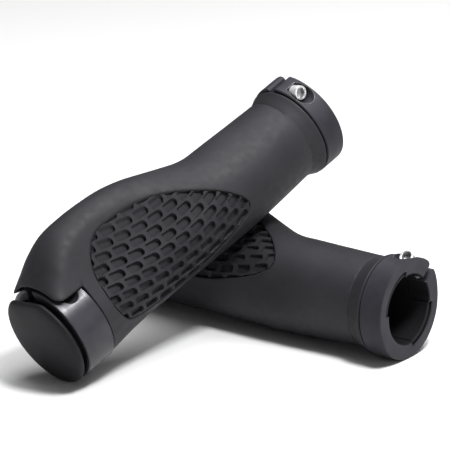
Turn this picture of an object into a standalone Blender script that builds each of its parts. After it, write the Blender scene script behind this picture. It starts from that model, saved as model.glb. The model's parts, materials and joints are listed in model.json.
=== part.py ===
"""A pair of ergonomic lock-on handlebar grips, one lying flat and one leaning across it.

Each grip is built in its own frame: +X runs along the bar axis from the inner end face to the
outer end, +Z points at the crest of the palm wing. Angles go about +X, from the crest, in degrees,
and a point is (s, -r sin, r cos). Lengths are in metres.
"""

import math

import bmesh
import bpy
from mathutils import Matrix, Vector

MM = 0.001
GAP = 0.3 * MM

# Bar bore and core tube
BORE_RADIUS = 11.1 * MM
CORE_RADIUS = 12.0 * MM
CORE_END_RADIUS = 13.0 * MM
CORE_TAB_RADIUS = 12.3 * MM
CORE_START = 0.6 * MM
CORE_END = 117.0 * MM
CORE_INNER_STEP = 16.0 * MM
CORE_OUTER_STEP = 104.0 * MM

# Clamp rings
RING_RADIUS = 16.15 * MM
LUG_RADIUS = 11.15 * MM
INNER_RING_WIDTH = 7.9 * MM
OUTER_RING_START = 108.85 * MM
OUTER_RING_END = 119.65 * MM
SPLIT_WIDTHS = {"inner": 2.2 * MM, "outer": 3.2 * MM}
EAR_RISES = {"inner": 0.75 * MM, "outer": 0.35 * MM}
EAR_SPAN = 44.0
KEY_TURN = -6.5
KEY_HALF = 51.0
KEY_CLEARANCE = 1.5
KEYWAY_RADII = {"inner": 12.85 * MM, "outer": CORE_END_RADIUS + GAP}

# Clamp bolts, M2.5 with a socket head. Each has its station, its height over the bar axis, and the
# places of its head seat and its tip across the split. The outer one sits deep, under the wing.
BOLTS = {
    "inner": (3.95 * MM, 13.1 * MM, 5.9 * MM, -6.8 * MM),
    "outer": (113.6 * MM, 13.1 * MM, 3.0 * MM, -6.8 * MM),
}
BOLT_CHAMFER = 0.3 * MM
SHANK_RADIUS = 1.25 * MM
HEAD_RADIUS = 2.4 * MM
HEAD_LENGTH = 3.5 * MM
SOCKET_RADIUS = 1.6 * MM
SOCKET_DEPTH = 1.7 * MM
POCKET_RADIUS = 3.4 * MM
POCKET_END = 14.5 * MM

# End cap
CAP_RADIUS = 15.9 * MM
CAP_FLAT = 14.0 * MM
CAP_BACK = 121.1 * MM
CAP_BACK_RADIUS = 14.7 * MM
CAP_SIDE = 121.8 * MM
CAP_RIM = 122.3 * MM
CAP_NECK_RADIUS = 12.6 * MM
PLUG_START = 98.0 * MM
PLUG_RADIUS = 10.2 * MM
PLUG_TIP_RADIUS = 9.4 * MM
PLUG_TIP_LENGTH = 1.5 * MM
PLUG_RIB_RADIUS = 10.75 * MM
PLUG_RIBS = (101.5 * MM, 105.5 * MM, 109.5 * MM)
RIB_RAMP = 0.4 * MM
RIB_LENGTH = 2.0 * MM
SEAT_RADIUS = 14.2 * MM
SEAT_OFFSET = -1.0 * MM
SEAT_DEPTH = 2.0 * MM

# The cap's soft dome, as (distance, radius) in millimetres
CAP_DOME = (
    (122.3, 15.9),
    (122.9, 15.55),
    (123.35, 14.6),
    (123.85, 11.6),
    (124.3, 7.0),
    (124.4, 3.0),
)

# Rubber sleeve
SLEEVE_START = INNER_RING_WIDTH + GAP
SLEEVE_END = 118.8 * MM
WING_OVERHANG_HALF = 45
CREST_ROUNDING = 0.55

# Flare at the inner end, and the sections of the sleeve after it, in millimetres
FLARE = ((8.2, 15.9), (8.5, 16.1), (10.0, 15.45), (11.8, 14.85), (13.6, 14.4))
SECTIONS = (
    (14.4, 20.0, 28.0, 36.0, 44.0, 50.0, 55.0, 60.0, 65.0, 70.0, 76.0, 82.0)
    + (88.0, 94.0, 100.0, 105.0, 109.0, 112.5, 115.5, 117.5, 118.8)
)

# Room under the wing's end for the outer clamp's ears and bolt head
EAR_ROOM = (39.0, 17.3 * MM)

# Stations along the sleeve: distance, body radius and reach of the wing crest, in millimetres
STATIONS = (
    (14.4, 14.4, 14.7),
    (30.0, 15.1, 15.1),
    (44.0, 15.5, 15.5),
    (50.0, 15.4, 16.6),
    (57.0, 15.2, 19.1),
    (64.0, 15.1, 21.8),
    (72.0, 14.9, 24.8),
    (80.0, 14.8, 26.9),
    (88.0, 14.7, 27.9),
    (97.0, 14.9, 28.2),
    (105.0, 15.5, 27.4),
    (111.0, 15.9, 24.6),
    (115.5, 16.0, 21.2),
    (118.8, 17.5, 17.9),
)

# Texture window: distance in millimetres and angle from the crest in degrees
WINDOW = (
    (44.0, 100.0),
    (50.0, 65.0),
    (60.0, 39.0),
    (72.0, 24.0),
    (88.0, 19.0),
    (97.0, 23.0),
    (102.5, 40.0),
    (104.0, 68.0),
    (103.5, 93.0),
    (99.0, 119.0),
    (86.0, 133.0),
    (70.0, 134.0),
    (53.0, 121.0),
)
WINDOW_DEPTH = 1.9 * MM
WINDOW_HALF_LENGTH = 30.0 * MM
WINDOW_HALF_WIDTH = 15.0 * MM
INSERT_TOP = 0.45 * MM
INSERT_BOTTOM = WINDOW_DEPTH - GAP
WINDOW_STEPS = 3
WINDOW_RINGS = 3

# Where each grip lies: inner face centre, turn of the axis, slope down to the cap, roll of the wing
POSES = {
    "left": ((0.0, 0.0, RING_RADIUS), 180.0, 0.0, 50.0),
    "right": ((-60.9 * MM, 30.3 * MM, 61.66 * MM), -99.0, 22.5, 9.0),
}

SEGMENTS = 40
SLEEVE_SEGMENTS = 40

RUBBER = ("grip_rubber", (0.045, 0.045, 0.048), 0.75, 0.0)
INSERT = ("insert_rubber", (0.04, 0.04, 0.044), 0.8, 0.0)
PLASTIC = ("core_plastic", (0.05, 0.05, 0.053), 0.55, 0.0)
CAP_PLASTIC = ("cap_plastic", (0.03, 0.03, 0.032), 0.5, 0.0)
ALLOY = ("clamp_alloy", (0.06, 0.06, 0.065), 0.35, 0.9)
STEEL = ("bolt_steel", (0.8, 0.8, 0.8), 0.25, 1.0)


def clear_scene():
    for old in list(bpy.data.objects):
        bpy.data.objects.remove(old)


def material(finish):
    name, colour, roughness, metallic = finish
    found = bpy.data.materials.get(name)
    if found:
        return found
    made = bpy.data.materials.new(name)
    made.use_nodes = True
    shader = made.node_tree.nodes["Principled BSDF"]
    shader.inputs["Base Color"].default_value = (*colour, 1.0)
    shader.inputs["Roughness"].default_value = roughness
    shader.inputs["Metallic"].default_value = metallic
    return made


def point(s, radius, angle):
    turn = math.radians(angle)
    return Vector((s, -radius * math.sin(turn), radius * math.cos(turn)))


def hermite(table, column, x):
    """Smooth curve through the table's points, with each slope taken from the neighbours."""
    if x <= table[0][0]:
        return table[0][column]
    if x >= table[-1][0]:
        return table[-1][column]
    i = max(k for k in range(len(table) - 1) if table[k][0] <= x)

    def slope(k):
        low, high = max(k - 1, 0), min(k + 1, len(table) - 1)
        return (table[high][column] - table[low][column]) / (table[high][0] - table[low][0])

    span = table[i + 1][0] - table[i][0]
    t = (x - table[i][0]) / span
    start, end = table[i][column], table[i + 1][column]
    return (
        (2 * t**3 - 3 * t**2 + 1) * start
        + (t**3 - 2 * t**2 + t) * span * slope(i)
        + (3 * t**2 - 2 * t**3) * end
        + (t**3 - t**2) * span * slope(i + 1)
    )


def surface_radius(s, angle):
    """Radius of the sleeve: a round body and a smaller round crest, joined by straight flanks."""
    body = hermite(STATIONS, 1, s / MM) * MM
    reach = max(hermite(STATIONS, 2, s / MM) * MM, body + 0.001 * MM)
    crest = body - CREST_ROUNDING * (reach - body)
    offset = reach - crest
    turn = abs(math.remainder(math.radians(angle), 2 * math.pi))
    flank = math.acos(max(-1.0, min(1.0, (body - crest) / offset)))
    crest_end = math.atan2(crest * math.sin(flank), offset + crest * math.cos(flank))
    if turn >= flank:
        return body
    if turn > crest_end:
        return body / math.cos(turn - flank)
    side = offset * math.sin(turn)
    return offset * math.cos(turn) + math.sqrt(max(crest**2 - side**2, 0.0))


def mesh_from(name, verts, faces):
    mesh = bpy.data.meshes.new(name)
    mesh.from_pydata([tuple(v) for v in verts], [], faces)
    bm = bmesh.new()
    bm.from_mesh(mesh)
    bmesh.ops.recalc_face_normals(bm, faces=bm.faces)
    bm.to_mesh(mesh)
    bm.free()
    return mesh


def loops_mesh(name, loops, closed):
    """Skins closed loops of equal length; closed joins the last loop to the first."""
    count = len(loops[0])
    verts = [v for loop in loops for v in loop]
    faces = []
    for k in range(len(loops) if closed else len(loops) - 1):
        a = k * count
        b = ((k + 1) % len(loops)) * count
        for i in range(count):
            j = (i + 1) % count
            faces.append((a + i, a + j, b + j, b + i))
    if not closed:
        faces.append(tuple(range(count)))
        faces.append(tuple(range(len(verts) - count, len(verts))))
    return mesh_from(name, verts, faces)


def turned(name, profile, segments=SEGMENTS):
    """Solid turned about the X axis from a closed outline of (s, radius) points."""
    loops = []
    for s, radius in profile:
        loops.append([point(s, radius, 360.0 * i / segments) for i in range(segments)])
    return loops_mesh(name, loops, closed=True)


def turned_solid(name, profile, segments=SEGMENTS):
    """Solid turned about the X axis, closed by flat discs at its two ends."""
    loops = []
    for s, radius in profile:
        loops.append([point(s, radius, 360.0 * i / segments) for i in range(segments)])
    return loops_mesh(name, loops, closed=False)


def prism(name, outline, start, end):
    """An outline of (radius, angle) points pushed along the X axis."""
    loops = [[point(s, radius, angle) for radius, angle in outline] for s in (start, end)]
    return loops_mesh(name, loops, closed=False)


def rod(name, station, height, start, end, radius, segments=24):
    """A round rod along the bolt's line, which crosses the split square to it."""
    loops = []
    for y in (start, end):
        ring = []
        for i in range(segments):
            turn = 2 * math.pi * i / segments
            x = station + radius * math.cos(turn)
            ring.append(Vector((x, y, height + radius * math.sin(turn))))
        loops.append(ring)
    return loops_mesh(name, loops, closed=False)


def cutter(mesh, parent):
    made = bpy.data.objects.new(mesh.name, mesh)
    bpy.context.scene.collection.objects.link(made)
    made.parent = parent
    made.hide_render = True
    made.display_type = "WIRE"
    return made


def cut(target, tool):
    step = target.modifiers.new(tool.name, "BOOLEAN")
    step.operation = "DIFFERENCE"
    step.solver = "EXACT"
    step.object = tool


def place(mesh, parent, finish, origin=Vector()):
    """Makes the sub-part, with its origin moved to a point of its grip's frame."""
    mesh.transform(Matrix.Translation(-origin))
    made = bpy.data.objects.new(mesh.name, mesh)
    bpy.context.scene.collection.objects.link(made)
    made.data.materials.append(material(finish))
    made.parent = parent
    made.location = origin
    mesh.shade_smooth()
    mesh.set_sharp_from_angle(angle=math.radians(35))
    return made


def sleeve_loops():
    """Outer loops from the inner flare to the wing's end, then the bore's loops back again."""
    loops = []
    around = [360.0 * i / SLEEVE_SEGMENTS for i in range(SLEEVE_SEGMENTS)]
    for s, radius in FLARE:
        loops.append([point(s * MM, radius * MM, a) for a in around])
    for s in SECTIONS:
        loops.append([point(s * MM, surface_radius(s * MM, a), a) for a in around])
    wide = CORE_END_RADIUS + GAP
    narrow = CORE_RADIUS + GAP
    for s, radius in (
        (SLEEVE_END, wide),
        (CORE_OUTER_STEP - GAP, wide),
        (CORE_OUTER_STEP - GAP, narrow),
        (CORE_INNER_STEP + GAP, narrow),
        (CORE_INNER_STEP + GAP, wide),
        (SLEEVE_START, wide),
    ):
        loops.append([point(s, radius, a) for a in around])
    return loops


def window_outline(side):
    """Smooth closed outline of a window, as (distance, angle) points, on the side -1 or +1."""
    outline = []
    count = len(WINDOW)
    for k in range(count):
        before, start, end, after = (WINDOW[(k + d) % count] for d in (-1, 0, 1, 2))
        for step in range(WINDOW_STEPS):
            t = step / WINDOW_STEPS
            both = []
            for c in (0, 1):
                both.append(
                    0.5
                    * (
                        2 * start[c]
                        + (end[c] - before[c]) * t
                        + (2 * before[c] - 5 * start[c] + 4 * end[c] - after[c]) * t**2
                        + (3 * start[c] - before[c] - 3 * end[c] + after[c]) * t**3
                    )
                )
            outline.append((both[0] * MM, side * both[1]))
    return outline


def window_slab(name, side, top, bottom, inset):
    """Curved slab under a window's outline, between two depths below the sleeve's surface."""
    outline = window_outline(side)
    middle_s = sum(p[0] for p in outline) / len(outline)
    middle_a = sum(p[1] for p in outline) / len(outline)
    verts, faces = [], []
    count = len(outline)
    shrink_s = 1 - inset / WINDOW_HALF_LENGTH
    shrink_a = 1 - inset / WINDOW_HALF_WIDTH
    for depth in (top, bottom):
        verts.append(point(middle_s, surface_radius(middle_s, middle_a) - depth, middle_a))
        for ring in range(1, WINDOW_RINGS + 1):
            share = ring / WINDOW_RINGS
            for s, a in outline:
                s_in = middle_s + (s - middle_s) * share * shrink_s
                a_in = middle_a + (a - middle_a) * share * shrink_a
                verts.append(point(s_in, surface_radius(s_in, a_in) - depth, a_in))
    layer = 1 + count * WINDOW_RINGS
    for base in (0, layer):
        for i in range(count):
            j = (i + 1) % count
            faces.append((base, base + 1 + i, base + 1 + j))
            for ring in range(WINDOW_RINGS - 1):
                a = base + 1 + ring * count
                b = a + count
                faces.append((a + i, b + i, b + j, a + j))
    rim = 1 + (WINDOW_RINGS - 1) * count
    for i in range(count):
        j = (i + 1) % count
        faces.append((rim + i, layer + rim + i, layer + rim + j, rim + j))
    return mesh_from(name, verts, faces)


def room_radius(angle):
    """Radius of the room under the wing's end, in which the outer clamp sits and slides out."""
    span, over_ears = EAR_ROOM
    return over_ears if abs(angle) < span else RING_RADIUS + GAP


def make_sleeve(grip, empty):
    sleeve = place(loops_mesh(f"{grip}_rubber_sleeve", sleeve_loops(), closed=True), empty, RUBBER)
    for word, side in (("front", -1), ("back", 1)):
        slab = window_slab(f"{grip}_{word}_window_cutter", side, -4 * MM, WINDOW_DEPTH, 0.0)
        cut(sleeve, cutter(slab, empty))
        insert = window_slab(f"{grip}_{word}_texture_insert", side, INSERT_TOP, INSERT_BOTTOM, GAP)
        place(insert, empty, INSERT)
    half = WING_OVERHANG_HALF
    outline = [(room_radius(a), a) for a in range(-half, half + 1, 3)]
    outline += [(45 * MM, a) for a in range(half, 360 - half + 1, 15)]
    end = prism(f"{grip}_wing_end_cutter", outline, OUTER_RING_START - GAP, SLEEVE_END + 5 * MM)
    cut(sleeve, cutter(end, empty))


def make_core(grip, empty):
    profile = (
        (CORE_START, BORE_RADIUS),
        (CORE_START, CORE_TAB_RADIUS),
        (SLEEVE_START, CORE_TAB_RADIUS),
        (SLEEVE_START, CORE_END_RADIUS),
        (CORE_INNER_STEP, CORE_END_RADIUS),
        (CORE_INNER_STEP, CORE_RADIUS),
        (CORE_OUTER_STEP, CORE_RADIUS),
        (CORE_OUTER_STEP, CORE_END_RADIUS),
        (CORE_END, CORE_END_RADIUS),
        (CORE_END, BORE_RADIUS),
    )
    core = place(turned(f"{grip}_core_tube", profile), empty, PLASTIC)
    ends = (("inner", -1 * MM, SLEEVE_START), ("outer", OUTER_RING_START - GAP, CORE_END + 1 * MM))
    for word, start, end in ends:
        for number in (0, 1):
            middle = KEY_TURN + 180 * number
            half = KEY_HALF + KEY_CLEARANCE
            arc = [middle - half + 2 * half * i / 12 for i in range(13)]
            outline = [(10 * MM, a) for a in arc] + [(16 * MM, a) for a in reversed(arc)]
            name = f"{grip}_{word}_key_cutter_{number}"
            cut(core, cutter(prism(name, outline, start, end), empty))


def ear_radius(word, angle):
    """The ring's outside, which swells a little at the two ears beside the split."""
    share = abs(math.remainder(angle, 360.0)) / EAR_SPAN
    return RING_RADIUS + (EAR_RISES[word] * math.cos(share * math.pi / 2) ** 2 if share < 1 else 0.0)


def ring_outline(word):
    """C-shaped outline: the outside from ear to ear, then the keyed bore back again."""
    half_gap = SPLIT_WIDTHS[word] / 2
    outer_edge = math.degrees(math.asin(half_gap / (RING_RADIUS + EAR_RISES[word])))
    inner_edge = math.degrees(math.asin(half_gap / LUG_RADIUS))
    outline = []
    for i in range(SEGMENTS + 1):
        angle = outer_edge + (360 - 2 * outer_edge) * i / SEGMENTS
        outline.append((ear_radius(word, angle), angle))
    keyway = KEYWAY_RADII[word]
    first = KEY_TURN + KEY_HALF
    second = first + 180 - 2 * KEY_HALF
    stretches = (
        (360 - inner_edge, second + 180, LUG_RADIUS),
        (second + 180, first + 180, keyway),
        (first + 180, second, LUG_RADIUS),
        (second, first, keyway),
        (first, inner_edge, LUG_RADIUS),
    )
    for start, end, radius in stretches:
        steps = max(2, round(abs(start - end) / 9))
        for i in range(steps + 1):
            outline.append((radius, start + (end - start) * i / steps))
    return outline


def make_ring(grip, word, empty, start, end):
    name = f"{grip}_{word}_clamp"
    station, height, seat, tip = BOLTS[word]
    middle = Vector(((start + end) / 2, 0, 0))
    ring = place(prism(name, ring_outline(word), start, end), empty, ALLOY, middle)
    hole = SHANK_RADIUS + GAP
    holes = (
        ("pocket", seat - GAP, POCKET_END, POCKET_RADIUS),
        ("hole", tip - GAP, seat, hole),
    )
    for use, low, high, radius in holes:
        tool = rod(f"{name}_{use}_cutter", station, height, low, high, radius)
        cut(ring, cutter(tool, empty))
    return ring


def seat_cutter(grip, empty):
    """The shallow seat for the cap's neck, set off-centre so that the ears stay thick."""
    loops = []
    for s in (OUTER_RING_END - SEAT_DEPTH, OUTER_RING_END + 2 * MM):
        ring = [point(s, SEAT_RADIUS, 360.0 * i / SEGMENTS) for i in range(SEGMENTS)]
        loops.append([v + Vector((0, 0, SEAT_OFFSET)) for v in ring])
    return cutter(loops_mesh(f"{grip}_cap_seat_cutter", loops, closed=False), empty)


def make_bolt(grip, word, empty):
    """Turned head and shank, with a hexagonal socket sunk in the head."""
    name = f"{grip}_{word}_clamp_bolt"
    station, height, seat, tip = BOLTS[word]
    top = seat + HEAD_LENGTH
    profile = (
        (tip, SHANK_RADIUS - BOLT_CHAMFER),
        (tip + BOLT_CHAMFER, SHANK_RADIUS),
        (seat, SHANK_RADIUS),
        (seat, HEAD_RADIUS),
        (top - BOLT_CHAMFER, HEAD_RADIUS),
        (top, HEAD_RADIUS - BOLT_CHAMFER),
    )
    to_bolt_line = Matrix.Rotation(math.pi / 2, 4, "Z")
    mesh = turned_solid(name, profile, 24)
    mesh.transform(to_bolt_line)
    origin = Vector((station, 0, height))
    mesh.transform(Matrix.Translation(origin))
    bolt = place(mesh, empty, STEEL, origin)
    well = ((top - SOCKET_DEPTH, SOCKET_RADIUS), (top + MM, SOCKET_RADIUS))
    socket = turned_solid(f"{name}_socket_cutter", well, 6)
    socket.transform(to_bolt_line)
    socket.transform(Matrix.Translation(origin))
    cut(bolt, cutter(socket, empty))


def make_cap(grip, empty):
    """Ribbed plug, neck and domed disc; the disc is cut flat on the wing's side."""
    profile = [(PLUG_START, PLUG_TIP_RADIUS), (PLUG_START + PLUG_TIP_LENGTH, PLUG_RADIUS)]
    for start in PLUG_RIBS:
        profile += [
            (start, PLUG_RADIUS),
            (start + RIB_RAMP, PLUG_RIB_RADIUS),
            (start + RIB_LENGTH, PLUG_RADIUS),
        ]
    neck = OUTER_RING_END - SEAT_DEPTH + 2 * GAP
    profile += [(neck, PLUG_RADIUS), (neck, CAP_NECK_RADIUS), (CAP_BACK, CAP_NECK_RADIUS)]
    profile += [(CAP_BACK, CAP_BACK_RADIUS), (CAP_SIDE, CAP_RADIUS)]
    profile += [(s * MM, radius * MM) for s, radius in CAP_DOME]
    origin = Vector((CAP_RIM, 0, 0))
    cap = place(turned_solid(f"{grip}_end_cap", profile), empty, CAP_PLASTIC, origin)
    wide = 20 * MM
    loops = []
    for s in (CAP_BACK - 0.5 * MM, CAP_BACK + 8 * MM):
        sides = ((-wide, CAP_FLAT), (wide, CAP_FLAT), (wide, wide), (-wide, wide))
        loops.append([Vector((s, y, z)) for y, z in sides])
    block = loops_mesh(f"{grip}_cap_flat_cutter", loops, closed=False)
    cut(cap, cutter(block, empty))


def grip_empty(grip):
    """The grip's own frame: inner face centre, bar axis along +X and wing crest along +Z."""
    centre, turn, slope, roll = POSES[grip]
    empty = bpy.data.objects.new(f"{grip}_grip", None)
    bpy.context.scene.collection.objects.link(empty)
    turned_to = Matrix.Rotation(math.radians(turn), 4, "Z")
    sloped = Matrix.Rotation(math.radians(slope), 4, "Y")
    rolled = Matrix.Rotation(math.radians(roll), 4, "X")
    empty.matrix_world = Matrix.Translation(centre) @ turned_to @ sloped @ rolled
    return empty


def make_grip(grip):
    empty = grip_empty(grip)
    make_sleeve(grip, empty)
    make_core(grip, empty)
    make_ring(grip, "inner", empty, 0.0, INNER_RING_WIDTH)
    outer = make_ring(grip, "outer", empty, OUTER_RING_START, OUTER_RING_END)
    cut(outer, seat_cutter(grip, empty))
    make_bolt(grip, "inner", empty)
    make_bolt(grip, "outer", empty)
    make_cap(grip, empty)
    return empty


def lowest_and_highest():
    graph = bpy.context.evaluated_depsgraph_get()
    corners = []
    for item in bpy.context.scene.objects:
        if item.type == "MESH" and not item.hide_render:
            shown = item.evaluated_get(graph)
            corners += [shown.matrix_world @ v.co for v in shown.data.vertices]
    low = Vector([min(c[k] for c in corners) for k in range(3)])
    high = Vector([max(c[k] for c in corners) for k in range(3)])
    return low, high


def main():
    clear_scene()
    empties = [make_grip(grip) for grip in POSES]
    bpy.context.view_layer.update()
    low, high = lowest_and_highest()
    base = Vector(((low.x + high.x) / 2, (low.y + high.y) / 2, low.z))
    for empty in empties:
        empty.location -= base


main()
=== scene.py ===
"""Looks for a pair of ergonomic lock-on handlebar grips that lie across each other.

Each grip's pieces are built in the grip's own frame, in millimetres: +X runs along the bar axis from
the inner end face to the outer end, and +Z points at the crest of the palm wing. Angles go about +X,
from the crest, in degrees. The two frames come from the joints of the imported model.
"""

import json
import math

import bmesh
import bpy
import numpy as np
from mathutils import Matrix, Vector
from mathutils.geometry import delaunay_2d_cdt


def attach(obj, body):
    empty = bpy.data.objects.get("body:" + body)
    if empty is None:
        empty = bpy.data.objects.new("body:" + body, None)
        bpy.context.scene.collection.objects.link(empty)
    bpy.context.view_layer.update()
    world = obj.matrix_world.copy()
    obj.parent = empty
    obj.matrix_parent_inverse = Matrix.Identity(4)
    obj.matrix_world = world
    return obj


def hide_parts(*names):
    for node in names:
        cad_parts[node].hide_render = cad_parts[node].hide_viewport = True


MM = 0.001
GAP = 0.3

# Core tube
BORE_RADIUS = 11.1
CORE_RADIUS = 12.0
CORE_END_RADIUS = 13.0
CORE_TAB_RADIUS = 12.3
CORE_START, CORE_END = 0.6, 117.0
CORE_INNER_STEP, CORE_OUTER_STEP = 16.0, 104.0
CORE_CHAMFER = 0.2
KEY_TOOL_RADII = (10.0, 16.0)
KEY_OVERRUN = 1.0

# Clamp rings
RING_RADIUS = 16.15
LUG_RADIUS = 11.15
INNER_RING = (0.0, 7.9)
OUTER_RING = (108.85, 119.65)
SPLIT_WIDTHS = {"inner": 2.2, "outer": 3.2}
EAR_RISES = {"inner": 0.75, "outer": 0.35}
EAR_SPAN = 44.0
EAR_CORNERS = {"inner": 1.5, "outer": 0.4}
KEY_TURN = -6.5
KEY_HALF = 51.0
KEY_CLEARANCE = 1.5
KEYWAY_RADII = {"inner": 12.85, "outer": 13.3}
RING_CHAMFER = 0.3
RIM_BEVEL = 0.18
RING_SEGMENTS = 144
KEYWAY_MARGIN = 0.1
CUT_OVERRUN = 2.0

# Clamp bolts: station, height over the bar axis, head seat and tip across the split
BOLTS = {"inner": (3.95, 13.1, 5.9, -6.8), "outer": (113.6, 13.1, 3.0, -6.8)}
HEAD_RADIUS = 2.4
HEAD_LENGTH = 3.5
HEAD_EDGE = 0.1
# The head's top edge: how far below the top, and how far in from its side
HEAD_CROWN = ((0.3, 0.0), (0.09, 0.1), (0.0, 0.32))
SOCKET_RADIUS = 1.7
SOCKET_DEPTH = 1.7
SOCKET_LIP, SOCKET_LIP_DEPTH = 0.16, 0.13
SOCKET_TIP, SOCKET_TIP_RADIUS = 0.35, 0.05
SOCKET_LOWEST = 0.5
SHANK_RADIUS = 1.25
THREAD_PITCH = 0.45
THREAD_DEPTH = 0.22
THREAD_STEPS = 6
THREAD_RUNOUT = 0.8
THREAD_EASE = 0.02
TIP_CHAMFER = 0.45
POCKET_RADIUS = 3.3
POCKET_HEIGHT = 13.0
POCKET_END = 14.5

# End cap, as (distance, radius), and the height at which its disc is cut flat
CAP_PLUG = ((98.0, 9.4), (99.5, 10.2))
PLUG_RIBS = (101.5, 105.5, 109.5)
PLUG_RADIUS = 10.2
PLUG_RIB_RADIUS = 10.75
PLUG_RIB_RISE, PLUG_RIB_LENGTH = 0.4, 2.0
CAP_NECK = ((118.25, 10.2), (118.25, 12.6), (121.1, 12.6))
CAP_RADIUS = 15.88
CAP_DISC = (
    (121.1, 14.7),
    (121.35, 15.4),
    (121.7, 15.8),
    (122.1, CAP_RADIUS),
    (122.5, 15.78),
    (122.85, 15.48),
    (123.15, 14.95),
    (123.4, 14.2),
    (123.65, 12.9),
    (123.9, 11.0),
    (124.1, 8.6),
    (124.25, 6.0),
    (124.35, 3.0),
    (124.38, 0.8),
)
CAP_FLAT = 14.0
CAP_CORNER = 0.05
CAP_LEAST_RISE = 0.2
SEAT_RADIUS = 14.2
SEAT_OFFSET = -1.0
SEAT_DEPTH = 2.0

# Rubber sleeve
SLEEVE_START = INNER_RING[1] + GAP
SLEEVE_END = 118.8
COLLAR_END = 13.6
WING_END = OUTER_RING[0] - GAP
TONGUE_HALF = 45.0
TONGUE_CORNER = 2.6
TONGUE_LEAN = 0.3
EAR_ROOM = 17.3
EAR_ROOM_HALF = 39.0
LIP = 0.12
EDGE_ROUND = 0.32
COLLAR_ROUND = 0.2
COLLAR_FOOT = 15.4
CREST_ROUNDING = 0.55
COLLAR = (
    (13.6, 14.2),
    (13.3, 14.22),
    (13.0, 14.34),
    (12.2, 14.62),
    (11.0, 15.02),
    (9.9, 15.46),
    (9.1, 15.84),
    (8.75, 15.98),
    (8.5, 15.92),
    (8.3, 15.7),
)

# Stations along the sleeve: distance, body radius and reach of the wing crest
STATIONS = (
    (14.4, 14.4, 14.7),
    (30.0, 15.1, 15.1),
    (44.0, 15.5, 15.5),
    (50.0, 15.4, 16.6),
    (57.0, 15.2, 19.1),
    (64.0, 15.1, 21.8),
    (72.0, 14.9, 24.8),
    (80.0, 14.8, 26.9),
    (88.0, 14.7, 27.9),
    (97.0, 14.9, 28.2),
    (105.0, 15.5, 27.4),
    (111.0, 15.9, 24.6),
    (115.5, 16.0, 21.2),
    (118.8, 17.5, 17.9),
)

# Texture window: distance and angle from the crest
WINDOW = (
    (44.0, 100.0),
    (50.0, 65.0),
    (60.0, 39.0),
    (72.0, 24.0),
    (88.0, 19.0),
    (97.0, 23.0),
    (102.5, 40.0),
    (104.0, 68.0),
    (103.5, 93.0),
    (99.0, 119.0),
    (86.0, 133.0),
    (70.0, 134.0),
    (53.0, 121.0),
)
WINDOW_DEPTH = 1.9
WINDOW_ROUND = 0.3
WINDOW_WALL = (WINDOW_ROUND, 1.1, WINDOW_DEPTH)
INSERT_TOP = 0.2
INSERT_BOTTOM = 1.8
INSERT_INSET = 0.18
INSERT_ROUND = 0.15

# Dents, in rows that bow towards the crest at both ends of the window
ROW_PITCH = 3.58
FIRST_ROW = 8.94
ROW_COUNT = 14
ROW_BOW = 0.0068
BOW_CENTRE = 71.0
COLUMN_PITCH = 6.45
FIRST_TIP = 39.2
COLUMN_COUNT = 12
DENT_LENGTH = 5.25
DENT_HALF = 1.45
TIP_ROUND = 1.35
TAIL_ROUND = 0.5
DENT_WALL = 0.18
TIP_DEPTH = 1.4
TAIL_DEPTH = 0.85

# Spacing of the mesh
SKIN_STEP = 1.25
SEAM_STEP = 0.7
WINDOW_STEP = 0.55
FLOOR_STEP = 2.0
INSERT_STEP = 0.4
DENT_STEP = 0.42

# The camera, from the left grip's inner face centre, and the direction it looks in
CAMERA_OFFSET = Vector((0.39200, -0.58424, 0.25042))
CAMERA_FORWARD = Vector((-0.59320421, 0.7466894, -0.30093804))
CAMERA_UP = Vector((-0.16469013, 0.2533517, 0.95325237))
CAMERA_LENS = 192.0
CAMERA_SENSOR = 36

# Lights, in metres and watts: name, place, target, size and power
LIGHTS = (
    ("key", (0.21, -0.045, 0.46), (-0.02, -0.03, 0.03), (0.09, 0.09), 2.2),
    ("overhead", (0.1, 0.25, 1.2), (0, 0, 0.03), (1.5, 1.2), 20.0),
    ("fill", (1.1, -0.1, 0.32), (0, 0, 0.03), (0.5, 0.5), 1.9),
)
WORLD_STRENGTH = 0.2
FLOOR_HALF = 3.0

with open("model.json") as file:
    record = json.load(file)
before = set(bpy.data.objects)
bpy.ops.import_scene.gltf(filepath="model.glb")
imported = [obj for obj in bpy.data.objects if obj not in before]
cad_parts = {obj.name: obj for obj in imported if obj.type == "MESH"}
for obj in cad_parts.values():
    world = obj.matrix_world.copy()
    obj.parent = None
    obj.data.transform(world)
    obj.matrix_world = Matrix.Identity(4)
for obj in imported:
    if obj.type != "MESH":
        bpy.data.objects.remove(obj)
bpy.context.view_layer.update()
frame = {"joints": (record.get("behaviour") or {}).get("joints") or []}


def grip_frame(grip):
    """The grip's own frame: its inner face centre and axes in the world, in metres."""
    joints = {joint["name"]: joint for joint in frame["joints"]}
    bolt = joints[f"{grip}_inner_bolt_turn"]
    x = Vector(joints[f"{grip}_cap_slide"]["axis"]).normalized()
    y = Vector(bolt["axis"]).normalized()
    z = x.cross(y)
    station, height = BOLTS["inner"][:2]
    turned = Matrix((x, y, z)).transposed().to_4x4()
    origin = Vector(bolt["pos_m"]) - x * station * MM - z * height * MM
    return Matrix.Translation(origin) @ turned


def linked(name, data):
    """A new object in the scene."""
    made = bpy.data.objects.new(name, data)
    bpy.context.scene.collection.objects.link(made)
    return made


# ---------------------------------------------------------------- the sleeve's surface


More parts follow.
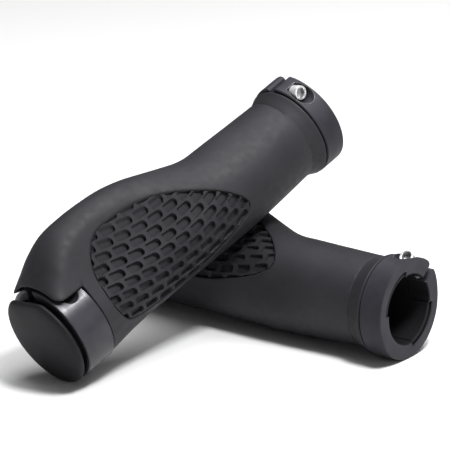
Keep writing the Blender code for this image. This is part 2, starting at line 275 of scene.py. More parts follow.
def table_curve(table, column, x):
    """Smooth curve through the table's points, with each slope taken from the neighbours."""
    knots = np.array([row[0] for row in table])
    values = np.array([row[column] for row in table])
    last = len(knots) - 1
    before = np.maximum(np.arange(last + 1) - 1, 0)
    after = np.minimum(np.arange(last + 1) + 1, last)
    slopes = (values[after] - values[before]) / (knots[after] - knots[before])
    x = np.clip(x, knots[0], knots[-1])
    i = np.clip(np.searchsorted(knots, x, side="right") - 1, 0, last - 1)
    span = knots[i + 1] - knots[i]
    t = (x - knots[i]) / span
    return (
        (2 * t**3 - 3 * t**2 + 1) * values[i]
        + (t**3 - 2 * t**2 + t) * span * slopes[i]
        + (3 * t**2 - 2 * t**3) * values[i + 1]
        + (t**3 - t**2) * span * slopes[i + 1]
    )


def surface(s, angle):
    """Radius of the sleeve: a round body and a smaller round crest, joined by straight flanks."""
    body = table_curve(STATIONS, 1, s)
    reach = np.maximum(table_curve(STATIONS, 2, s), body + 0.001)
    crest = body - CREST_ROUNDING * (reach - body)
    offset = reach - crest
    turn = np.radians(np.abs(angle))
    flank = np.arccos(np.clip((body - crest) / offset, -1, 1))
    crest_end = np.arctan2(crest * np.sin(flank), offset + crest * np.cos(flank))
    side = offset * np.sin(turn)
    on_crest = offset * np.cos(turn) + np.sqrt(np.maximum(crest**2 - side**2, 0))
    on_flank = body / np.cos(np.minimum(np.abs(turn - flank), 1.5))
    return np.where(turn >= flank, body, np.where(turn > crest_end, on_flank, on_crest))


def points(s, radius, angle):
    """Points in the grip's frame, at a distance along it, a radius and an angle from the crest."""
    s, radius, angle = np.broadcast_arrays(s, radius, np.radians(angle))
    return np.stack((s, -radius * np.sin(angle), radius * np.cos(angle)), axis=-1)


ROLL_S = np.linspace(13.0, 119.0, 425)
ROLL_ANGLES = np.linspace(180.0, 0.0, 361)


def unrolled():
    """For each distance and angle, the arc from the back of the sleeve round to that angle."""
    radius = surface(ROLL_S[:, None], ROLL_ANGLES[None, :])
    turn = np.radians(ROLL_ANGLES)[None, :]
    y, z = radius * np.sin(turn), radius * np.cos(turn)
    steps = np.hypot(np.diff(y, axis=1), np.diff(z, axis=1))
    return np.concatenate((np.zeros((len(ROLL_S), 1)), np.cumsum(steps, axis=1)), axis=1)


ROLL_ARCS = unrolled()


def between_rows(s, value, lookup):
    """Reads a value in the unrolled rows on both sides of s and mixes the two."""
    s, value = np.broadcast_arrays(np.asarray(s, float), np.asarray(value, float))
    at = np.clip((s - ROLL_S[0]) / (ROLL_S[1] - ROLL_S[0]), 0, len(ROLL_S) - 1.001)
    low = at.astype(int)
    share = at - low
    result = np.zeros(s.shape)
    for rows, weight in ((low, 1 - share), (low + 1, share)):
        for row in np.unique(rows):
            here = rows == row
            result[here] += weight[here] * lookup(value[here], row)
    return result


def arc_at(s, angle):
    """Arc from the sleeve's back round to an angle."""
    return between_rows(s, angle, lambda a, row: np.interp(-a, -ROLL_ANGLES, ROLL_ARCS[row]))


def angle_at(s, arc):
    """Angle at which the arc from the sleeve's back ends."""
    return between_rows(s, arc, lambda w, row: np.interp(w, ROLL_ARCS[row], ROLL_ANGLES))


def unroll(line):
    """A line of (distance, angle) as (distance, arc)."""
    return np.stack((line[:, 0], arc_at(line[:, 0], line[:, 1])), axis=1)


def sunk(flat, depth):
    """Points at a depth under the sleeve's surface, for spots given as (distance, arc)."""
    s, w = flat.T
    angle = angle_at(s, w)
    return points(s, surface(s, angle) - depth, angle)


# ---------------------------------------------------------------- flat outlines and patches


def smooth_loop(corners, steps):
    """Smooth closed curve through the corners."""
    corners = np.array(corners, float)
    t = (np.arange(steps) / steps)[:, None]
    loop = []
    for k in range(len(corners)):
        a, b, c, d = (corners[(k + i) % len(corners)] for i in (-1, 0, 1, 2))
        bend = (2 * a - 5 * b + 4 * c - d) * t**2 + (3 * b - a - 3 * c + d) * t**3
        loop.append(0.5 * (2 * b + (c - a) * t + bend))
    return np.concatenate(loop)


def spaced(line, step, closed):
    """The same line with points at even distances."""
    line = np.vstack((line, line[:1])) if closed else line
    along = np.concatenate(([0], np.cumsum(np.linalg.norm(np.diff(line, axis=0), axis=1))))
    count = max(2, round(along[-1] / step))
    at = np.linspace(0, along[-1], count + 1)
    even = np.stack([np.interp(at, along, line[:, k]) for k in (0, 1)], axis=1)
    return even[:-1] if closed else even


def distance(spots, line, closed):
    """Shortest distance from each spot to a line."""
    start = line if closed else line[:-1]
    end = np.roll(line, -1, axis=0) if closed else line[1:]
    along = end - start
    best = np.full(len(spots), np.inf)
    for a, d in zip(start, along):
        t = np.clip(((spots - a) @ d) / max(d @ d, 1e-12), 0, 1)
        best = np.minimum(best, np.hypot(*(spots - a - t[:, None] * d).T))
    return best


def inside(spots, loop):
    """Which spots lie within a closed loop."""
    result = np.zeros(len(spots), bool)
    for (x0, y0), (x1, y1) in zip(loop, np.roll(loop, -1, axis=0)):
        if y0 != y1:
            crosses = (y0 > spots[:, 1]) != (y1 > spots[:, 1])
            result ^= crosses & (spots[:, 0] < (x1 - x0) * (spots[:, 1] - y0) / (y1 - y0) + x0)
    return result


def sideways(line, offset, closed):
    """The line moved sideways by an offset."""
    if closed:
        tangent = np.roll(line, -1, axis=0) - np.roll(line, 1, axis=0)
    else:
        tangent = np.gradient(line, axis=0)
    tangent /= np.linalg.norm(tangent, axis=1)[:, None]
    return line + offset * np.stack((-tangent[:, 1], tangent[:, 0]), axis=1)


def shrunk(loop, depth):
    """A closed loop moved inwards by a depth."""
    moved = sideways(loop, depth, True)
    return moved if inside(moved[:1], loop)[0] else sideways(loop, -depth, True)


def grid_spots(loop, step):
    """Spots at the corners of even triangles, over a loop's box."""
    low, high = loop.min(axis=0), loop.max(axis=0)
    rows = []
    for k, w in enumerate(np.arange(low[1], high[1], step * 0.866)):
        s = np.arange(low[0] + (step / 2 if k % 2 else 0), high[0], step)
        rows.append(np.stack((s, np.full(len(s), w)), axis=1))
    return np.concatenate(rows)


def rounding(depth, radius):
    """How far a quarter-round edge has dropped at some depth in from it."""
    t = np.clip(1 - depth / radius, 0, 1)
    return radius * (1 - np.sqrt(1 - t**2))


def triangulate(lines, spots, outer, holes):
    """Triangles over the spots and lines, each line (points, closed), between outer and holes."""
    flat, edges = [], []
    for line, closed in lines:
        first = len(flat)
        flat += [Vector(p) for p in line]
        count = len(line)
        edges += [(first + i, first + (i + 1) % count) for i in range(count if closed else count - 1)]
    flat += [Vector(p) for p in spots]
    verts, _, faces, _, _, _ = delaunay_2d_cdt(flat, edges, [], 0, 1e-5)
    verts = np.array([tuple(v) for v in verts])
    faces = np.array([tuple(f) for f in faces])
    middle = verts[faces].mean(axis=1)
    keep = inside(middle, outer)
    for hole in holes:
        keep &= ~inside(middle, hole)
    return verts, faces[keep]


class Shell:
    """Collects patches of one piece, and welds them where their edges meet."""

    def __init__(self):
        self.verts = []
        self.faces = []
        self.count = 0

    def add(self, verts, faces):
        """Faces, given as numbers of their own verts."""
        self.verts.append(np.asarray(verts, float).reshape(-1, 3))
        self.faces += [tuple(int(i) + self.count for i in face) for face in faces]
        self.count += len(self.verts[-1])

    def strip(self, loops, closed):
        """Quads between lines of equal length; closed joins each line's end to its start."""
        loops = np.asarray(loops, float)
        rows, count = loops.shape[:2]
        faces = []
        for k in range(rows - 1):
            for i in range(count if closed else count - 1):
                j = (i + 1) % count
                faces.append((k * count + i, k * count + j, (k + 1) * count + j, (k + 1) * count + i))
        self.add(loops, faces)

    def lid(self, loop):
        """One face inside a closed loop."""
        self.add(loop, [tuple(range(len(loop)))])

    def prism(self, loops):
        """Quads between closed loops, and a lid on each end."""
        self.strip(loops, closed=True)
        self.lid(loops[0])
        self.lid(loops[-1])

    def mirrored(self):
        """Adds the same faces again on the other side of the wing's plane."""
        verts = np.concatenate(self.verts)
        self.add(verts * (1, -1, 1), [face[::-1] for face in list(self.faces)])

    def mesh(self, name, weld=0.002):
        """A mesh of all the patches, with points closer than the weld distance joined."""
        made = bpy.data.meshes.new(name)
        made.from_pydata([tuple(v) for v in np.concatenate(self.verts)], [], self.faces)
        bm = bmesh.new()
        bm.from_mesh(made)
        bmesh.ops.remove_doubles(bm, verts=bm.verts, dist=weld)
        bmesh.ops.recalc_face_normals(bm, faces=bm.faces)
        bm.to_mesh(made)
        bm.free()
        return made


# ---------------------------------------------------------------- materials


def new_material(name):
    """A node material, its tree and its shader."""
    made = bpy.data.materials.new(name)
    made.use_nodes = True
    return made, made.node_tree, made.node_tree.nodes["Principled BSDF"]


def noise_of(tree, scale, detail=4.0, stretch=None, grip=None):
    """Noise over the piece; scale is in features per metre, and stretch is along the grip's axes."""
    noise = tree.nodes.new("ShaderNodeTexNoise")
    noise.inputs["Scale"].default_value = scale
    noise.inputs["Detail"].default_value = detail
    place = tree.nodes.new("ShaderNodeTexCoord").outputs["Object"]
    if stretch:
        turned = tree.nodes.new("ShaderNodeMapping")
        turned.inputs["Rotation"].default_value = FRAMES[grip].to_3x3().inverted().to_euler()
        scaled = tree.nodes.new("ShaderNodeMapping")
        scaled.inputs["Scale"].default_value = stretch
        tree.links.new(place, turned.inputs["Vector"])
        tree.links.new(turned.outputs["Vector"], scaled.inputs["Vector"])
        place = scaled.outputs["Vector"]
    tree.links.new(place, noise.inputs["Vector"])
    return noise.outputs["Fac"]


def ramp(tree, source, low, high, start=0.3, end=0.7):
    """Colour that goes from low to high as the source goes from start to end."""
    node = tree.nodes.new("ShaderNodeValToRGB")
    node.color_ramp.elements[0].position = start
    node.color_ramp.elements[1].position = end
    node.color_ramp.elements[0].color = (*low, 1)
    node.color_ramp.elements[1].color = (*high, 1)
    tree.links.new(source, node.inputs["Fac"])
    return node.outputs["Color"]


def spread(tree, source, low, high, start=0.3, end=0.7):
    """Number that goes from low to high as the source goes from start to end."""
    node = tree.nodes.new("ShaderNodeMapRange")
    for key, value in (("From Min", start), ("From Max", end), ("To Min", low), ("To Max", high)):
        node.inputs[key].default_value = value
    tree.links.new(source, node.inputs["Value"])
    return node.outputs["Result"]


def bumped(tree, shader, heights):
    """Chains bumps of (source, depth in metres) into the shader's normal."""
    normal = None
    for source, depth in heights:
        bump = tree.nodes.new("ShaderNodeBump")
        bump.inputs["Distance"].default_value = depth
        tree.links.new(source, bump.inputs["Height"])
        if normal:
            tree.links.new(normal, bump.inputs["Normal"])
        normal = bump.outputs["Normal"]
    tree.links.new(normal, shader.inputs["Normal"])


def rubber(name, low, high, rough):
    """Moulded rubber: cloudy bloom over the colour, and a fine matt grain."""
    made, tree, shader = new_material(name)
    cloud = noise_of(tree, 55, detail=5)
    scuff = noise_of(tree, 420, detail=3)
    grain = noise_of(tree, 2600, detail=2)
    tree.links.new(ramp(tree, cloud, low, high), shader.inputs["Base Color"])
    tree.links.new(spread(tree, scuff, rough - 0.05, rough + 0.08), shader.inputs["Roughness"])
    shader.inputs["Specular IOR Level"].default_value = 0.3
    bumped(tree, shader, ((scuff, 0.00004), (grain, 0.000025)))
    return made


def plastic(name, low, high, rough):
    """Moulded plastic with a very fine spark texture."""
    made, tree, shader = new_material(name)
    cloud = noise_of(tree, 90, detail=3)
    grain = noise_of(tree, 3800, detail=2)
    tree.links.new(ramp(tree, cloud, low, high), shader.inputs["Base Color"])
    tree.links.new(spread(tree, grain, rough - 0.05, rough + 0.07), shader.inputs["Roughness"])
    shader.inputs["Specular IOR Level"].default_value = 0.25
    bumped(tree, shader, ((grain, 0.000012),))
    return made


def anodised(name, grip, low, high, rough, shine):
    """Anodised alloy with fine lathe lines round the ring."""
    made, tree, shader = new_material(name)
    lines = noise_of(tree, 45, detail=3, stretch=(90, 1, 1), grip=grip)
    cloud = noise_of(tree, 160, detail=3)
    tree.links.new(ramp(tree, cloud, low, high), shader.inputs["Base Color"])
    tree.links.new(spread(tree, lines, rough - 0.06, rough + 0.06), shader.inputs["Roughness"])
    shader.inputs["Metallic"].default_value = 0.1
    shader.inputs["Specular IOR Level"].default_value = shine
    bumped(tree, shader, ((lines, 0.000006), (cloud, 0.000006)))
    return made


def zinc(name, low, high):
    """Plated steel with faint turning marks."""
    made, tree, shader = new_material(name)
    marks = noise_of(tree, 350, detail=2)
    tree.links.new(ramp(tree, marks, low, high), shader.inputs["Base Color"])
    tree.links.new(spread(tree, marks, 0.3, 0.38), shader.inputs["Roughness"])
    shader.inputs["Metallic"].default_value = 0.6
    bumped(tree, shader, ((marks, 0.000004),))
    return made


FRAMES = {grip: grip_frame(grip) for grip in ("left", "right")}
SHARED = {
    "grip_rubber": rubber("sleeve_rubber", (0.027, 0.0265, 0.031), (0.039, 0.0385, 0.044), 0.58),
    "insert_rubber": rubber("dent_rubber", (0.024, 0.0235, 0.028), (0.034, 0.0335, 0.039), 0.6),
    # Very dark tube plastic: its own black, darkened further as painted shade so that the bore looks black
    "core_plastic": plastic("tube_plastic_bore_shade", (0.01, 0.01, 0.012), (0.015, 0.015, 0.018), 0.6),
    "cap_plastic": plastic("plug_plastic", (0.016, 0.0158, 0.0185), (0.022, 0.0217, 0.025), 0.58),
    "bolt_steel": zinc("bright_zinc", (0.72, 0.72, 0.73), (0.88, 0.88, 0.88)),
    # Darker grey for the hex socket: painted shade inside the recess
    "shaded_socket_steel": zinc("shaded_socket", (0.4, 0.4, 0.41), (0.48, 0.48, 0.49)),
}
BLACK = ((0.036, 0.035, 0.042), (0.05, 0.048, 0.058))
# Lighter grey for the bevelled edges of the rings: painted edge highlight
EDGE_HIGHLIGHT = ((0.34, 0.34, 0.35), (0.45, 0.45, 0.46))
MATERIALS = {(look, grip): made for look, made in SHARED.items() for grip in FRAMES}
for grip in FRAMES:
    MATERIALS["inner_ring", grip] = anodised(f"{grip}_inner_black", grip, *BLACK, 0.5, 0.22)
    MATERIALS["outer_ring", grip] = anodised(f"{grip}_outer_black", grip, *BLACK, 0.34, 0.42)
    MATERIALS["rim", grip] = anodised(f"{grip}_bare_rim", grip, *EDGE_HIGHLIGHT, 0.3, 0.5)


def add_pieces(mesh, body, node, slot, sharp=38.0, looks=None):
    """Puts a mesh made in the grip's frame into both grips, in place of their CAD nodes."""
    mesh.transform(Matrix.Scale(MM, 4))
    mesh.shade_smooth()
    mesh.set_sharp_from_angle(angle=math.radians(sharp))
    for grip, place in FRAMES.items():
        copied = mesh.copy()
        copied.transform(place)
        for number, look in enumerate(looks or (slot,)):
            if number < len(copied.materials):
                copied.materials[number] = MATERIALS[look, grip]
            else:
                copied.materials.append(MATERIALS[look, grip])
        made = linked(f"{grip}_{mesh.name}", copied)
        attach(made, f"{grip}_{body}")
        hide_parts(f"{grip}_{node}")


# ---------------------------------------------------------------- rubber sleeve and inserts


def window_line(step):
    """Edge of the texture window, as (distance, arc)."""
    return spaced(unroll(smooth_loop(WINDOW, 24)), step, closed=True)


def tongue_edge():
    """Outer edge of the sleeve at the cap's end, as (distance, angle) from the crest to the back."""
    edge = [(SLEEVE_END, a) for a in np.arange(0.0, TONGUE_HALF - 6.0, 2.0)]
    corner_turn = math.degrees(TONGUE_CORNER / RING_RADIUS)
    for k in range(7):
        turn = math.radians(15 * k)
        s = SLEEVE_END - TONGUE_CORNER * (1 - math.cos(turn))
        edge.append((s, TONGUE_HALF - TONGUE_LEAN - corner_turn * (1 - math.sin(turn))))
    for share in np.linspace(0, 1, 14)[1:]:
        s = SLEEVE_END - TONGUE_CORNER + (WING_END - SLEEVE_END + TONGUE_CORNER) * share
        edge.append((s, TONGUE_HALF - TONGUE_LEAN + TONGUE_LEAN * share))
    return np.array(edge)


def outer_skin(shell, window):
    """The outside from the crest round to the back, with the window left out of it."""
    tongue = tongue_edge()
    back_turn = np.linspace(TONGUE_HALF, 180, 46)[1:]
    ring_side = np.stack((np.full(len(back_turn), WING_END), back_turn), axis=1)
    end_turn = np.linspace(180, 0, 61)
    collar = np.stack((np.full(61, COLLAR_END), end_turn), axis=1)
    wing_edge = np.concatenate((tongue, ring_side))
    wing_flat, collar_flat = unroll(wing_edge), unroll(collar)
    back_s = np.linspace(WING_END, COLLAR_END, 80)[1:-1]
    back = np.stack((back_s, np.zeros(len(back_s))), axis=1)
    crest_s = np.linspace(COLLAR_END, SLEEVE_END, 90)[1:-1]
    crest = unroll(np.stack((crest_s, np.zeros(len(crest_s))), axis=1))
    outer = np.concatenate((wing_flat, back, collar_flat, crest))

    soft = ((wing_flat, False, EDGE_ROUND), (collar_flat, False, COLLAR_ROUND), (window, True, WINDOW_ROUND))
    spots = []
    for line, closed, radius in soft:
        fine = spaced(line, SEAM_STEP, closed)
        for share in (0.15, 0.45, 0.75, 1.0, 2.4):
            for side in (-1, 1):
                row = sideways(fine, side * share * radius, closed)
                near = distance(row, line, closed)
                spots.append(row[near > 0.95 * share * radius])
    grid = grid_spots(outer, SKIN_STEP)
    room = np.min([distance(grid, line, closed) - 3 * radius for line, closed, radius in soft], axis=0)
    spots.append(grid[room > 0])
    spots = np.concatenate(spots)
    spots = spots[inside(spots, outer) & ~inside(spots, window)]
    spots = spots[distance(spots, outer, True) > 0.03]
    flat_verts, faces = triangulate(((outer, True), (window, True)), spots, outer, (window,))

    drop = np.zeros(len(flat_verts))
    for line, closed, radius in soft:
        drop = np.maximum(drop, rounding(distance(flat_verts, line, closed), radius))
    shell.add(sunk(flat_verts, drop), faces)
    return wing_edge, collar


def room_radius(angle):
    """Radius of the room in which the outer clamp sits under the wing's end."""
    return np.where(np.abs(angle) < EAR_ROOM_HALF, EAR_ROOM, RING_RADIUS + GAP)


def make_sleeve():
    """Rubber sleeve: skin, window pocket, tongue over the outer clamp, collar and bore."""
    shell = Shell()
    window = window_line(WINDOW_STEP)
    wing_edge, collar = outer_skin(shell, window)

    shell.strip([sunk(window, depth) for depth in WINDOW_WALL], closed=True)
    spots = grid_spots(window, FLOOR_STEP)
    spots = spots[inside(spots, window) & (distance(spots, window, True) > 0.6)]
    floor, faces = triangulate(((window, True),), spots, window, ())
    shell.add(sunk(floor, WINDOW_DEPTH), faces)

    s, angle = wing_edge.T
    top = surface(s, angle) - EDGE_ROUND
    inner = np.where(s > WING_END + 0.01, top - LIP, CORE_END_RADIUS + GAP)
    under = angle <= TONGUE_HALF
    shell.strip((points(s, top, angle)[under], points(s, inner, angle)[under]), closed=False)
    at_ring = np.full(under.sum(), WING_END)
    roof = points(at_ring, room_radius(angle[under]), angle[under])
    foot = points(at_ring, CORE_END_RADIUS + GAP, angle[under])
    shell.strip((points(s, inner, angle)[under], roof, foot), closed=False)
    behind = angle >= TONGUE_HALF
    top_edge = points(s, top, angle)[behind]
    top_edge[0] = points(WING_END, room_radius(TONGUE_HALF), TONGUE_HALF)
    shell.strip((top_edge, points(s, CORE_END_RADIUS + GAP, angle)[behind]), closed=False)

    turn = collar[:, 1]
    start = surface(collar[:, 0], turn) - COLLAR_ROUND
    rows = [points(COLLAR_END, start, turn)]
    rows += [points(at, radius, turn) for at, radius in COLLAR[1:]]
    rows += [points(SLEEVE_START, radius, turn) for radius in (COLLAR_FOOT, CORE_END_RADIUS + GAP)]
    shell.strip(rows, closed=False)
    bore = (
        (SLEEVE_START, CORE_END_RADIUS + GAP),
        (CORE_INNER_STEP + GAP, CORE_END_RADIUS + GAP),
        (CORE_INNER_STEP + GAP, CORE_RADIUS + GAP),
        (CORE_OUTER_STEP - GAP, CORE_RADIUS + GAP),
        (CORE_OUTER_STEP - GAP, CORE_END_RADIUS + GAP),
        (WING_END, CORE_END_RADIUS + GAP),
    )
    shell.strip([points(at, radius, turn) for at, radius in bore], closed=False)
    shell.mirrored()
    add_pieces(shell.mesh("sleeve"), "grip", "rubber_sleeve", "grip_rubber", sharp=50)


def row_line(row, s):
    """Arc from the sleeve's back to the middle of a row of dents."""
    return FIRST_ROW + ROW_PITCH * row + ROW_BOW * (s - BOW_CENTRE) ** 2


def tip_at(row, column):
    """Distance of a dent's tip; every other row is half a pitch further on."""
    return FIRST_TIP + COLUMN_PITCH * (column + 0.5 * (row % 2))


def dent_depth(s, w):
    """Depth of the dents: a round, steep tip, and a floor that climbs towards the cap's end."""
    nearest = np.round((w - row_line(0, s)) / ROW_PITCH)
    result = np.zeros(len(s))
    for row in range(ROW_COUNT):
        here = nearest == row
        if not here.any():
            continue
        start = FIRST_TIP + COLUMN_PITCH * 0.5 * (row % 2)
        along = (s[here] - start) % COLUMN_PITCH
        across = np.abs(w[here] - row_line(row, s[here]))
        corner = np.where(along < DENT_LENGTH / 2, TIP_ROUND, TAIL_ROUND)
        dx = np.abs(along - DENT_LENGTH / 2) - DENT_LENGTH / 2 + corner
        dy = across - DENT_HALF + corner
        rim = np.hypot(np.maximum(dx, 0), np.maximum(dy, 0)) + np.minimum(np.maximum(dx, dy), 0) - corner
        t = np.clip(-rim / DENT_WALL, 0, 1)
        share = np.clip(along / DENT_LENGTH, 0, 1)
        floor = TIP_DEPTH + (TAIL_DEPTH - TIP_DEPTH) * share
        result[here] = floor * t * t * (3 - 2 * t)
    return result


def dent_line(row, column, inset):
    """Closed line round one dent, drawn in from its rim, as (distance, arc)."""
    length, half = DENT_LENGTH - 2 * inset, DENT_HALF - inset
    line = []
    for corner_s, side, corner, first in (
        (length, 1, TAIL_ROUND, 0),
        (0.0, 1, TIP_ROUND, 90),
        (0.0, -1, TIP_ROUND, 180),
        (length, -1, TAIL_ROUND, 270),
    ):
        corner = max(corner - inset, 0.1)
        middle_s = corner_s - corner if corner_s else corner
        middle_w = side * (half - corner)
        steps = 6 if corner > 0.6 else 3
        for k in range(steps + 1):
            turn = math.radians(first + 90 * k / steps)
            line.append((middle_s + corner * math.cos(turn), middle_w + corner * math.sin(turn)))
    line = spaced(np.array(line), DENT_STEP, closed=True)
    s = tip_at(row, column) + inset + line[:, 0]
    return np.stack((s, row_line(row, s) + line[:, 1]), axis=1)


def make_inserts():
    """Dented rubber inserts, one in the window on each side of the wing."""
    outer = shrunk(window_line(INSERT_STEP), INSERT_INSET)
    lines, spots = [(outer, True)], []
    for row in range(ROW_COUNT):
        for column in range(COLUMN_COUNT):
            tip = tip_at(row, column)
            middle = np.array([[tip + DENT_LENGTH / 2, row_line(row, tip)]])
            if distance(middle, outer, True)[0] > 5 and not inside(middle, outer)[0]:
                continue
            for inset in (0.0, DENT_WALL / 2, DENT_WALL):
                ring = dent_line(row, column, inset)
                kept = inside(ring, outer) & (distance(ring, outer, True) > 0.1)
                if kept.all():
                    lines.append((ring, True))
                else:
                    spots.append(ring[kept])
            for along in np.linspace(0.9, DENT_LENGTH - 0.7, 6):
                for across in (-0.7, 0.0, 0.7):
                    s = tip + along
                    spots.append(np.array([[s, row_line(row, s) + across]]))
            for along in np.linspace(0, COLUMN_PITCH, 9)[:-1]:
                s = tip + along
                spots.append(np.array([[s, row_line(row, s) + ROW_PITCH / 2]]))
    spots += [shrunk(outer, depth) for depth in (0.12, 0.3)]
    spots = np.concatenate(spots)
    spots = spots[inside(spots, outer)]
    spots = spots[distance(spots, outer, True) > 0.08]
    flat, faces = triangulate(lines, spots, outer, ())
    edge_drop = rounding(distance(flat, outer, True), INSERT_ROUND)
    top = sunk(flat, INSERT_TOP + np.maximum(edge_drop, dent_depth(*flat.T)))
    rim_drop = INSERT_TOP + np.maximum(INSERT_ROUND, dent_depth(*outer.T))
    edge = np.stack([sunk(outer, drop) for drop in (rim_drop, INSERT_BOTTOM)])
    for word, side in (("front", -1), ("back", 1)):
        shell = Shell()
        shell.add(top * (1, -side, 1), faces)
        shell.strip(edge * (1, -side, 1), closed=True)
        shell.lid(edge[-1] * (1, -side, 1))
        add_pieces(shell.mesh(f"{word}_dents"), "grip", f"{word}_texture_insert", "insert_rubber", sharp=45)


# ---------------------------------------------------------------- rings, tube, bolts and cap


def applied(holder):
    """A new mesh of an object as its modifiers leave it."""
    shown = holder.evaluated_get(bpy.context.evaluated_depsgraph_get())
    return bpy.data.meshes.new_from_object(shown)


def empty_slots(mesh, count):
    """Material slots for the faces' numbers, filled in later."""
    for _ in range(count):
        mesh.materials.append(None)


def cut_away(mesh, cutters):
    """The mesh with the cutters' shapes taken out of it."""
    target = linked(mesh.name, mesh)
    tools = []
    for number, cutter in enumerate(cutters):
        tool = linked(f"cutter_{number}", cutter)
        step = target.modifiers.new("cut", "BOOLEAN")
        step.solver = "EXACT"
        step.object = tool
        tools.append(tool)
    result = applied(target)
    for old in (*tools, target):
        bpy.data.objects.remove(old)
    result.name = mesh.name
    result.materials.clear()
    return result


def bevelled(mesh, width, least):
    """Breaks the edges sharper than an angle, and gives the broken edges the second material: a painted edge
    highlight.
    """
    empty_slots(mesh, 3)
    holder = linked("bevelling", mesh)
    step = holder.modifiers.new("bevel", "BEVEL")
    step.width = width
    step.segments = 2
    step.limit_method = "ANGLE"
    step.angle_limit = math.radians(least)
    step.material = 1
    result = applied(holder)
    bpy.data.objects.remove(holder)
    result.name = mesh.name
    return result


def bolt_ring(station, height, y, radius, turn):
    """Loop of points round a bolt's line."""
    x = station + radius * np.cos(turn)
    return np.stack((x, np.full(len(turn), y), height + radius * np.sin(turn)), axis=1)


def cylinder(name, station, height, start, end, radius, segments=64):
    """A round cutter along a bolt's line."""
    turn = np.linspace(0, 2 * np.pi, segments, endpoint=False)
    shell = Shell()
    shell.prism([bolt_ring(station, height, y, radius, turn) for y in (start, end)])
    return shell.mesh(name)


def disc(name, start, end, radius, offset, segments=96):
    """A round cutter along the bar axis, set off from it towards the wing."""
    turn = np.linspace(0, 360, segments, endpoint=False)
    shell = Shell()
    shell.prism([points(s, radius, turn) + (0, 0, offset) for s in (start, end)])
    return shell.mesh(name)


def ear_radius(word, angle):
    """Outer radius of a clamp ring, which rises to its ears beside the split."""
    share = np.abs((angle + 180) % 360 - 180) / EAR_SPAN
    return RING_RADIUS + np.where(share < 1, EAR_RISES[word] * np.cos(share * np.pi / 2) ** 2, 0)


def ring_outline(word):
    """Outline of a clamp ring across its axis, from ear to ear and back round the keyed bore."""
    half_gap = SPLIT_WIDTHS[word] / 2
    corner = EAR_CORNERS[word]
    rise = []
    for turn in np.radians(np.linspace(0, 90, 7)):
        beside = half_gap + corner * (1 - math.cos(turn))
        lower = corner * (1 - math.sin(turn))
        angle = math.degrees(math.asin(beside / (RING_RADIUS + EAR_RISES[word])))
        rise.append((float(ear_radius(word, angle)) - lower, angle))
    first_turn = rise[-1][1]
    outer = []
    for angle in np.linspace(first_turn, 360 - first_turn, RING_SEGMENTS)[1:-1]:
        outer.append((float(ear_radius(word, angle)), angle))
    outer = rise + outer + [(radius, 360 - angle) for radius, angle in reversed(rise)]
    inner_edge = math.degrees(math.asin(half_gap / LUG_RADIUS))
    keyway = KEYWAY_RADII[word]
    first = KEY_TURN + KEY_HALF
    second = first + 180 - 2 * KEY_HALF
    bore = []
    for start, end, radius in (
        (360 - inner_edge, second + 180, LUG_RADIUS),
        (second + 180, first + 180, keyway),
        (first + 180, second, LUG_RADIUS),
        (second, first, keyway),
        (first, inner_edge, LUG_RADIUS),
    ):
        for angle in np.linspace(start, end, max(3, round(abs(start - end) / 2.5))):
            bore.append((radius, angle))
    outline = np.array(outer + bore)
    turn = np.radians(outline[:, 1])
    return np.stack((-outline[:, 0] * np.sin(turn), outline[:, 0] * np.cos(turn)), axis=1)


def drawn_in(outline, offset):
    """A closed outline moved inwards, with its corners kept."""
    before = outline - np.roll(outline, 1, axis=0)
    after = np.roll(outline, -1, axis=0) - outline
    before /= np.linalg.norm(before, axis=1)[:, None]
    after /= np.linalg.norm(after, axis=1)[:, None]
    left = np.stack((-before[:, 1] - after[:, 1], before[:, 0] + after[:, 0]), axis=1)
    left /= np.maximum(np.einsum("ij,ij->i", left, left)[:, None], 0.5) / 2
    x, y = outline.T
    area = np.sum(x * np.roll(y, -1) - y * np.roll(x, -1))
    return outline + left * offset * (1 if area > 0 else -1)


def make_ring(word, start, end):
    """Split clamp ring with its bolt pocket; the outer one also has a seat for the cap."""
    outline = ring_outline(word)
    small = drawn_in(outline, RING_CHAMFER)
    loops = []
    for s, ring in (
        (start, small),
        (start + RING_CHAMFER, outline),
        (end - RING_CHAMFER, outline),
        (end, small),
    ):
        loops.append(np.stack((np.full(len(ring), s), ring[:, 0], ring[:, 1]), axis=1))
    shell = Shell()
    shell.prism(loops)
    station, height, seat, tip = BOLTS[word]
    pocket_end = POCKET_END + CUT_OVERRUN
    cutters = [
        cylinder("pocket", station, POCKET_HEIGHT, seat - GAP, pocket_end, POCKET_RADIUS),
        cylinder("hole", station, height, tip - GAP, seat, SHANK_RADIUS + GAP, 32),
    ]
    if word == "outer":
        cutters.append(disc("seat", end - SEAT_DEPTH, end + CUT_OVERRUN, SEAT_RADIUS, SEAT_OFFSET))
    mesh = cut_away(shell.mesh(f"{word}_ring"), cutters)
    mesh = bevelled(mesh, RIM_BEVEL, 50)
    # Faces of the bore and keyways that face the axis get the very dark tube plastic: painted shade inside
    # the ring's bore
    for face in mesh.polygons:
        middle = Vector((face.center.y, face.center.z))
        inward = Vector((face.normal.y, face.normal.z)).dot(middle) < -0.5 * middle.length
        if inward and middle.length < KEYWAY_RADII[word] + KEYWAY_MARGIN:
            face.material_index = 2
    # The second look paints a highlight on the bevelled edges; the third paints shade in the bore
    looks = (f"{word}_ring", "rim", "core_plastic")
    add_pieces(mesh, f"{word}_clamp", f"{word}_clamp", "clamp_alloy", sharp=30, looks=looks)


